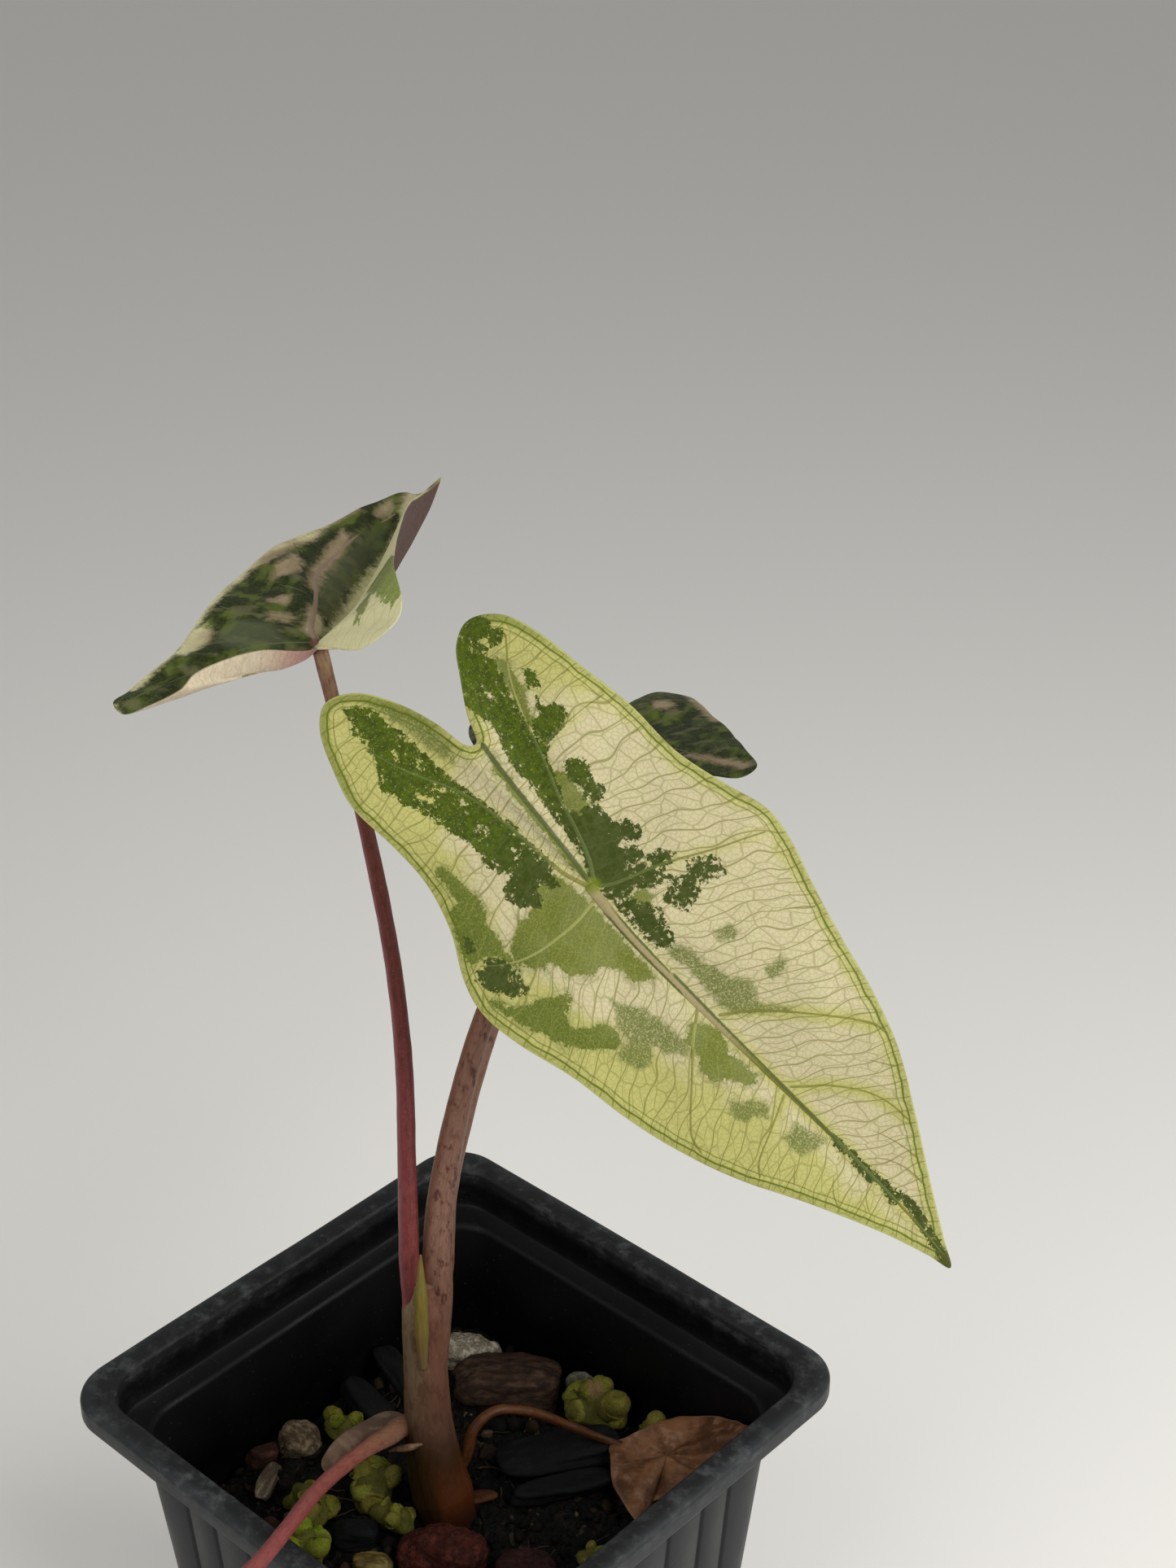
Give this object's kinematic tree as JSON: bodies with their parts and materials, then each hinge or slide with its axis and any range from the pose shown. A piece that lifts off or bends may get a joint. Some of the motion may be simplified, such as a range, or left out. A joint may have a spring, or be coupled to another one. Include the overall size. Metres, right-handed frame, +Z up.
{
  "type": "potted alocasia",
  "caption": "Potted alocasia with arrow-shaped, variegated leaves on thin stalks, standing in a square nursery pot of dark potting mix.",
  "frame": {"origin": "centre of the pot's underside, on the surface that it stands on", "axes": "+Z up; the pot's +X and -Y faces meet in the corner that is nearest to the viewer, and the front leaf's tip points to +X"},
  "size_m": [0.1402, 0.2036, 0.223],
  "materials": {
    "pot_plastic": "satin",
    "potting_mix": "matte",
    "root": "matte",
    "crown": "satin",
    "sheath": "satin",
    "pink_stalk": "satin",
    "flecked_stalk": "satin",
    "dead_stalk": "matte",
    "cream_blade": "satin",
    "dark_blade": "satin",
    "dead_blade": "matte",
    "bark": "matte",
    "pumice": "matte",
    "slate": "matte",
    "moss": "matte",
    "wood_chip": "matte",
    "fired_clay": "matte"
  },
  "bodies": {
    "root": {"pot": "pot_plastic", "soil": "potting_mix", "rootstock": "root", "crown": "crown", "sheath_tip": "sheath", "petiole_front": "flecked_stalk", "petiole_back_left": "pink_stalk", "petiole_back_right": "flecked_stalk", "petiole_low": "pink_stalk", "petiole_dead": "dead_stalk", "leaf_front": "cream_blade", "leaf_back_left": "dark_blade", "leaf_back_right": "dark_blade", "leaf_low": "cream_blade", "leaf_dead": "dead_blade", "bark_block": "bark", "pumice_white": "pumice", "slab_upper": "slate", "slab_lower": "slate", "slab_back_upper": "slate", "slab_back_lower": "slate", "slate_front": "slate", "moss_back_large": "moss", "moss_back_small": "moss", "moss_left": "moss", "moss_right": "moss", "moss_strip": "moss", "moss_front_tall": "moss", "moss_front_left": "moss", "moss_front_bright": "moss", "chip_grey": "wood_chip", "chip_red": "wood_chip", "chip_brown": "wood_chip", "chip_yellow": "wood_chip", "chip_beige_long": "wood_chip", "chip_beige_short": "wood_chip", "cork_left": "wood_chip", "clay_red": "fired_clay", "clay_dark": "fired_clay", "root_nub": "root"}
  },
  "joints": []
}
